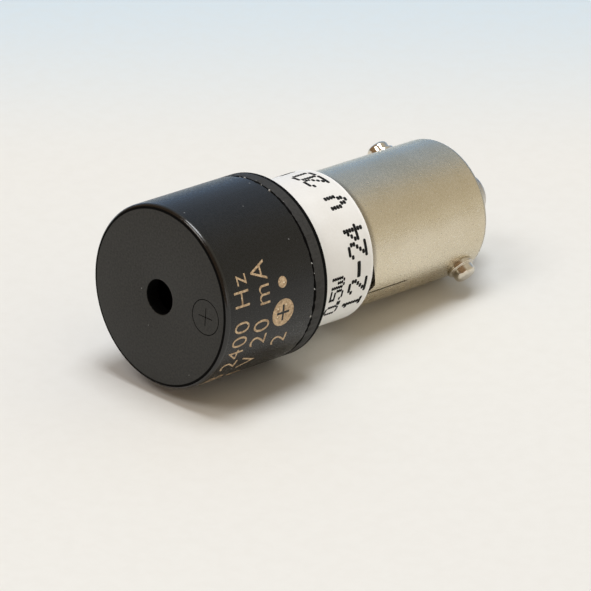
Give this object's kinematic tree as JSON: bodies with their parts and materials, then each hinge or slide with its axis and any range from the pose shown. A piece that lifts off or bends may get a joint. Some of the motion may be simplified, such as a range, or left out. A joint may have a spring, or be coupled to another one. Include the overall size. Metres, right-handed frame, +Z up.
{
  "type": "electronic buzzer",
  "caption": "Round black electronic buzzer with a sound hole in its face, on a labelled holder and a nickelled bayonet lamp cap with side pins and a centre contact.",
  "frame": {"origin": "bottom centre of the box around the buzzer as it lies at rest, on the plane it lies on", "axes": "+Y runs from the sound face to the centre contact, which lies about 5 degrees lower; +Z is up"},
  "size_m": [0.012, 0.0294, 0.0127],
  "materials": {
    "case_plastic": "matte moulded black",
    "cover_plastic": "satin moulded black",
    "holder_plastic": "matte moulded black",
    "label_film": "matt white printed film",
    "satin_nickel": "satin nickel plate",
    "polished_nickel": "polished nickel plate",
    "black_glass": "glossy black insulator",
    "contact_brass": "plain brass",
    "solder": "bright solder",
    "steel": "plain steel",
    "copper_wire": "lacquered copper winding",
    "ferrite": "sintered ferrite",
    "circuit_board": "green solder mask",
    "chip_body": "moulded epoxy",
    "capacitor_body": "fired ceramic",
    "resistor_body": "lacquered body",
    "tinned_wire": "tinned wire"
  },
  "bodies": {
    "root": {"case": "case_plastic", "rear_cover": "cover_plastic", "diaphragm": "steel", "diaphragm_weight": "steel", "pole": "steel", "coil": "copper_wire", "ring_magnet": "ferrite", "yoke": "steel", "driver_board": "circuit_board", "transistor": "chip_body", "base_resistor": "chip_body", "positive_terminal": "tinned_wire", "negative_terminal": "tinned_wire", "holder": "holder_plastic", "label": "label_film", "rectifier_board": "circuit_board", "bridge_rectifier": "chip_body", "smoothing_capacitor": "capacitor_body", "dropper_resistor": "resistor_body", "board_lead": "tinned_wire", "contact_lead": "tinned_wire", "shell_lead": "tinned_wire", "bayonet_shell": "satin_nickel", "near_pin": "polished_nickel", "far_pin": "polished_nickel", "insulator": "black_glass", "contact_eyelet": "contact_brass", "contact_button": "solder"}
  },
  "joints": []
}
